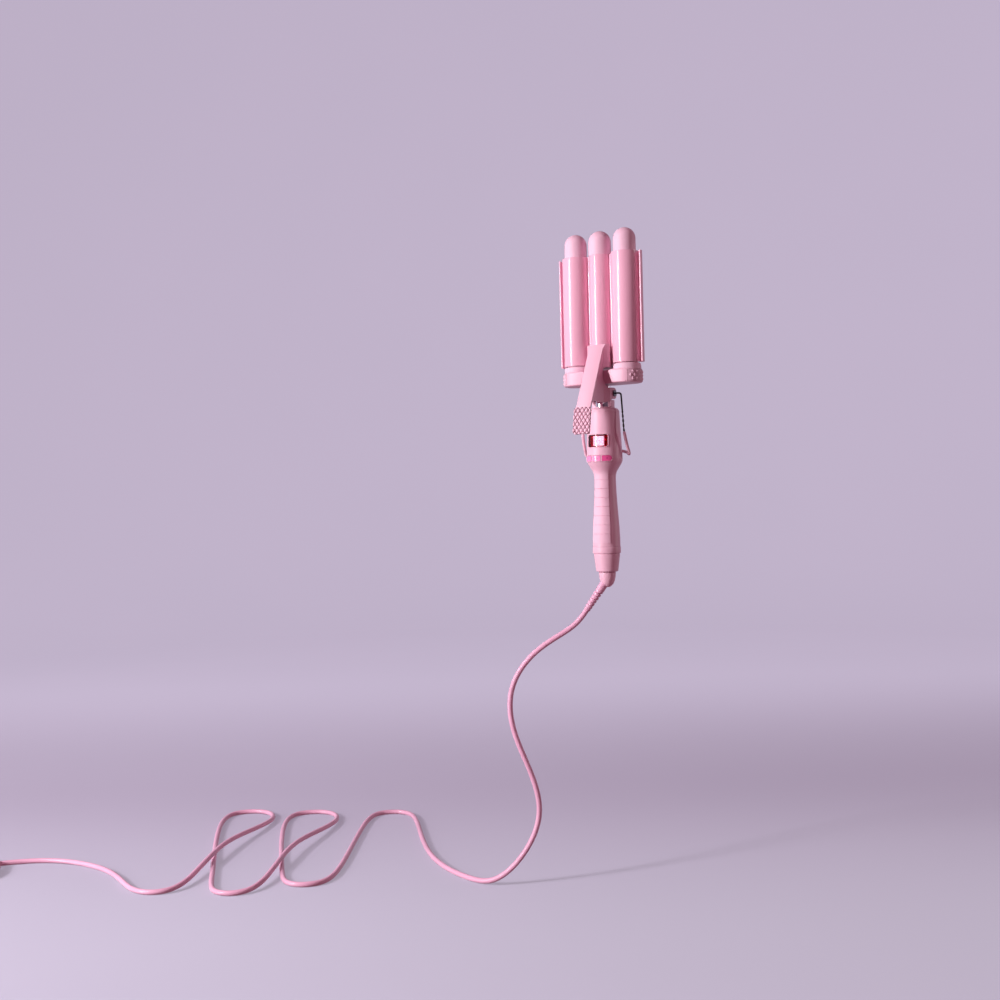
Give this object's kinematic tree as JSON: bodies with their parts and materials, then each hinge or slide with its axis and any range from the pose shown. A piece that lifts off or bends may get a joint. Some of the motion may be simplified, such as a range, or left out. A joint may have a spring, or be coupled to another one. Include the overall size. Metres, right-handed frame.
{
  "type": "hair waver",
  "caption": "Hair waver with side-by-side round barrels, an opening front jaw worked by a thumb lever, a wire stand, a display with push buttons and a swivel cord.",
  "frame": {"origin": "the middle of the hand's grip, on the handle's axis", "axes": "+Z runs along the handle to the barrel tips, -Y is the front with the lever and the display, +X is to the right seen from the front"},
  "size_m": [0.7791, 0.5548, 0.719],
  "materials": {
    "coated_plate": "glossy ceramic coat on extruded aluminium",
    "pink_gloss": "glossy pink moulding",
    "pink_satin": "satin heat-resistant moulding",
    "soft_pink": "soft-touch grip",
    "magenta": "glossy moulding",
    "lens_tint": "glossy tinted window",
    "display_face": "display face in a dark red frame",
    "chrome": "polished",
    "steel": "bright",
    "black_wire": "black lacquer on steel wire",
    "dark_steel": "dark",
    "aluminium": "plain",
    "ceramic": "fired ceramic and insulation",
    "board": "circuit board",
    "cord_pink": "smooth sheath"
  },
  "bodies": {
    "handle": {"rear_plate": "coated_plate", "left_tip_cap": "pink_satin", "right_tip_cap": "pink_satin", "left_heater": "ceramic", "right_heater": "ceramic", "left_heat_spreader": "aluminium", "right_heat_spreader": "aluminium", "base_block": "pink_gloss", "left_collar": "pink_satin", "right_collar": "pink_satin", "left_end_pad": "soft_pink", "right_end_pad": "soft_pink", "barrel_screws": "steel", "neck_tube": "chrome", "neck_yoke": "pink_gloss", "hinge_pin": "dark_steel", "hinge_washers": "dark_steel", "lever_spring": "steel", "heater_leads": "ceramic", "front_shell": "pink_gloss", "rear_shell": "pink_gloss", "grip_panel": "soft_pink", "handle_band": "pink_gloss", "end_cap": "pink_gloss", "handle_screws": "steel", "display_lens": "lens_tint", "display_module": "display_face", "circuit_board": "board", "switch_strip": "board", "button_frame": "pink_gloss", "swivel_contacts": "ceramic"},
    "jaw": {"front_plate": "coated_plate", "middle_tip_cap": "pink_satin", "middle_heater": "ceramic", "middle_heat_spreader": "aluminium", "lever": "pink_gloss", "thumb_pad": "soft_pink", "middle_barrel_screw": "steel"},
    "stand": {"stand_legs": "black_wire", "stand_bow": "pink_gloss"},
    "minus_button_body": {"minus_button": "magenta"},
    "power_button_body": {"power_button": "magenta"},
    "plus_button_body": {"plus_button": "magenta"},
    "swivel": {"cord_swivel": "pink_gloss", "strain_relief": "cord_pink", "cord": "cord_pink", "cord_coil": "cord_pink", "plug_body": "pink_gloss", "plug_pins": "chrome"}
  },
  "joints": [
    {"name": "jaw_hinge", "type": "hinge", "parent": "handle", "child": "jaw", "pos_m": [0, 0, 0.133], "axis": [1, 0, 0], "range_deg": [0, 20], "stiffness_Nm_per_rad": 0.6, "springref_deg": -34.38},
    {"name": "stand_hinge", "type": "hinge", "parent": "handle", "child": "stand", "pos_m": [0, 0, 0.133], "axis": [1, 0, 0], "range_deg": [0, 95]},
    {"name": "minus_slide", "type": "slide", "parent": "handle", "child": "minus_button_body", "axis": [0.5664, 0.8241, 0], "range_m": [0, 0.0007], "stiffness_N_per_m": 900, "springref_m": -0.0005},
    {"name": "power_slide", "type": "slide", "parent": "handle", "child": "power_button_body", "axis": [0, 1, 0], "range_m": [0, 0.0007], "stiffness_N_per_m": 900, "springref_m": -0.0005},
    {"name": "plus_slide", "type": "slide", "parent": "handle", "child": "plus_button_body", "axis": [-0.5664, 0.8241, 0], "range_m": [0, 0.0007], "stiffness_N_per_m": 900, "springref_m": -0.0005},
    {"name": "cord_swivel_turn", "type": "hinge", "parent": "handle", "child": "swivel", "pos_m": [0, 0, -0.062], "axis": [0, 0, 1], "continuous": true}
  ]
}
